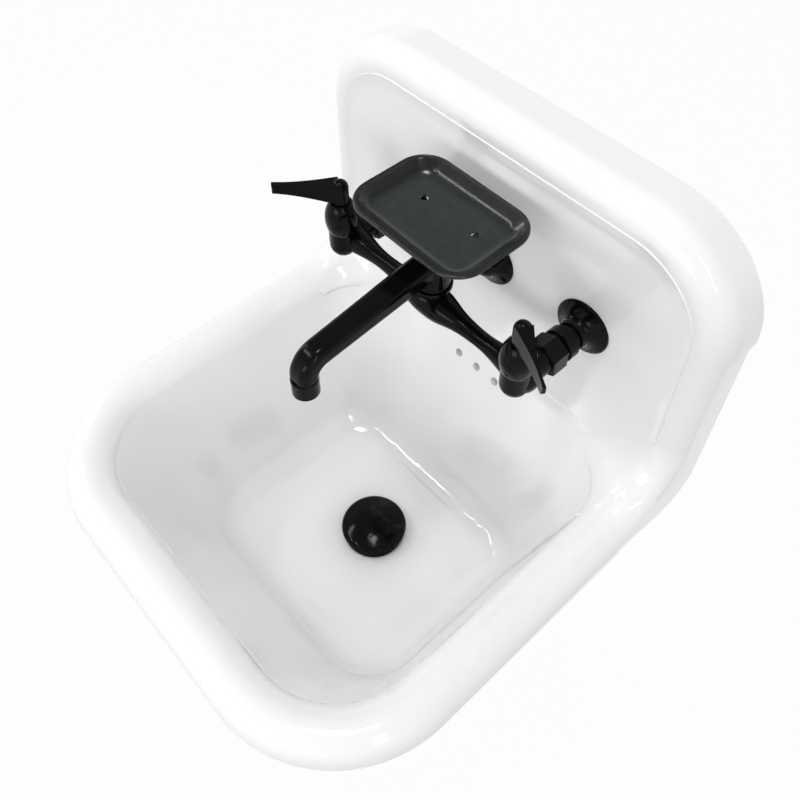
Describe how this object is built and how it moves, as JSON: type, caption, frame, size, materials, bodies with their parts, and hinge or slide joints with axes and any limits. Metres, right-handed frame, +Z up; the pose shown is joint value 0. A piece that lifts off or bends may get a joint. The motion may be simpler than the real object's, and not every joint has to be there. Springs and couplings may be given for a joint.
{
  "type": "wall-mounted sink with bridge tap",
  "caption": "Wall-hung sink with a rolled rim, a high rounded back, a wall bridge tap with lever handles and swinging spout, a soap dish and a push stopper.",
  "frame": {"origin": "on the wall plane and the centre line, level with the top of the rim, on the level rib that bears on the wall", "axes": "+Z up, +Y into the wall, +X to the right of a person who faces the sink"},
  "size_m": [0.432, 0.42, 0.595],
  "materials": {
    "enamel": "glossy white vitreous enamel on cast iron",
    "black_metal": "satin to semi-gloss black coating on brass",
    "dish_metal": "satin black coating on pressed metal",
    "brass": "machined brass",
    "zinc_steel": "zinc-plated steel",
    "rubber": "matt black rubber",
    "nylon": "matt white nylon"
  },
  "bodies": {
    "sink": {"sink_casting": "enamel", "tap_body": "black_metal", "hot_bonnet": "black_metal", "cold_bonnet": "black_metal", "hot_coupling_nut": "black_metal", "cold_coupling_nut": "black_metal", "hot_inlet_shank": "black_metal", "cold_inlet_shank": "black_metal", "hot_wall_flange": "black_metal", "cold_wall_flange": "black_metal", "spout_cap_nut": "black_metal", "dish_post": "black_metal", "dish_locknut": "black_metal", "hole_cover": "black_metal", "drain_body": "black_metal", "tailpiece": "black_metal", "soap_dish": "dish_metal", "hot_cartridge": "brass", "cold_cartridge": "brass", "shank_locknuts": "brass", "drain_locknut": "brass", "cover_nut": "brass", "click_cartridge": "brass", "wall_hanger": "zinc_steel", "shank_washers": "zinc_steel", "cover_washer": "zinc_steel", "seat_seals": "rubber", "union_washers": "rubber", "spout_o_rings": "rubber", "drain_gasket": "rubber", "drain_cone_washer": "rubber", "tailpiece_seal": "rubber", "spout_thrust_washer": "nylon", "drain_slip_washer": "nylon"},
    "hot_handle": {"hot_lever": "black_metal", "hot_spindle": "brass", "hot_lever_screw": "zinc_steel"},
    "cold_handle": {"cold_lever": "black_metal", "cold_spindle": "brass", "cold_lever_screw": "zinc_steel"},
    "spout_arm": {"spout": "black_metal", "aerator_housing": "black_metal", "aerator_insert": "nylon", "aerator_washer": "rubber"},
    "stopper": {"stopper_cap": "black_metal", "stopper_seal": "rubber", "stopper_stem": "brass"}
  },
  "joints": [
    {"name": "hot_lever_turn", "type": "hinge", "parent": "sink", "child": "hot_handle", "pos_m": [-0.1016, -0.124, 0.17], "axis": [0, 0, 1], "range_deg": [-49, 41]},
    {"name": "cold_lever_turn", "type": "hinge", "parent": "sink", "child": "cold_handle", "pos_m": [0.1016, -0.124, 0.17], "axis": [0, 0, 1], "range_deg": [-57, 33]},
    {"name": "spout_swivel", "type": "hinge", "parent": "sink", "child": "spout_arm", "pos_m": [0, -0.115, 0.167], "axis": [0, 0, 1], "range_deg": [-70, 70]},
    {"name": "stopper_push", "type": "slide", "parent": "sink", "child": "stopper", "axis": [0, 0, 1], "range_m": [-0.008, 0]}
  ]
}
